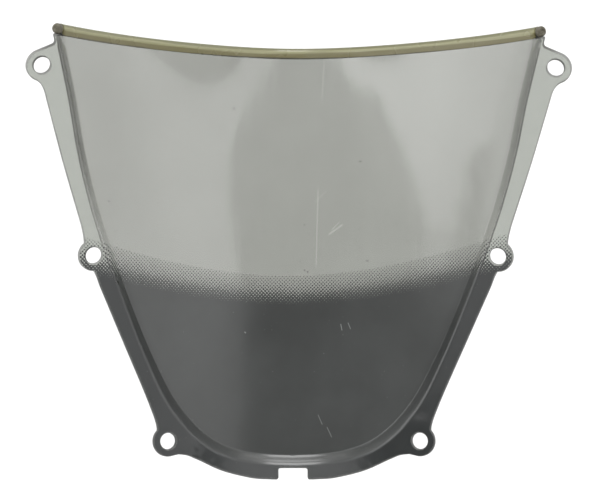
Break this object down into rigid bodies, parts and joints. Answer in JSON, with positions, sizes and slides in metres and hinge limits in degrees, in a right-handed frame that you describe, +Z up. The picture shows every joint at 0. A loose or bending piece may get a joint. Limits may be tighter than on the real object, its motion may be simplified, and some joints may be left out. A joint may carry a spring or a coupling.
{
  "type": "motorcycle windshield screen",
  "caption": "Smoked sport-bike windshield screen: bubble with side flanges, screw ears, locating notch, printed black lower band with a dot fade, and a trimmed top edge.",
  "frame": {"origin": "middle of the seat of the locating notch in the bottom edge, at mid thickness", "axes": "+X across the screen, +Y from the hollow inner side to the outer side, +Z up along the screen's centreline"},
  "size_m": [0.36, 0.1262, 0.3103],
  "materials": {
    "smoked_plastic": "clear smoked sheet with light scratches",
    "printed_ink": "satin black print, speckled, with a dot fade at its upper edge",
    "trim": "satin olive moulding",
    "plug": "dark satin plastic"
  },
  "bodies": {
    "root": {"screen_panel": "smoked_plastic", "black_band": "printed_ink", "top_edge_trim": "trim", "trim_end_plug_left": "plug", "trim_end_plug_right": "plug"}
  },
  "joints": []
}
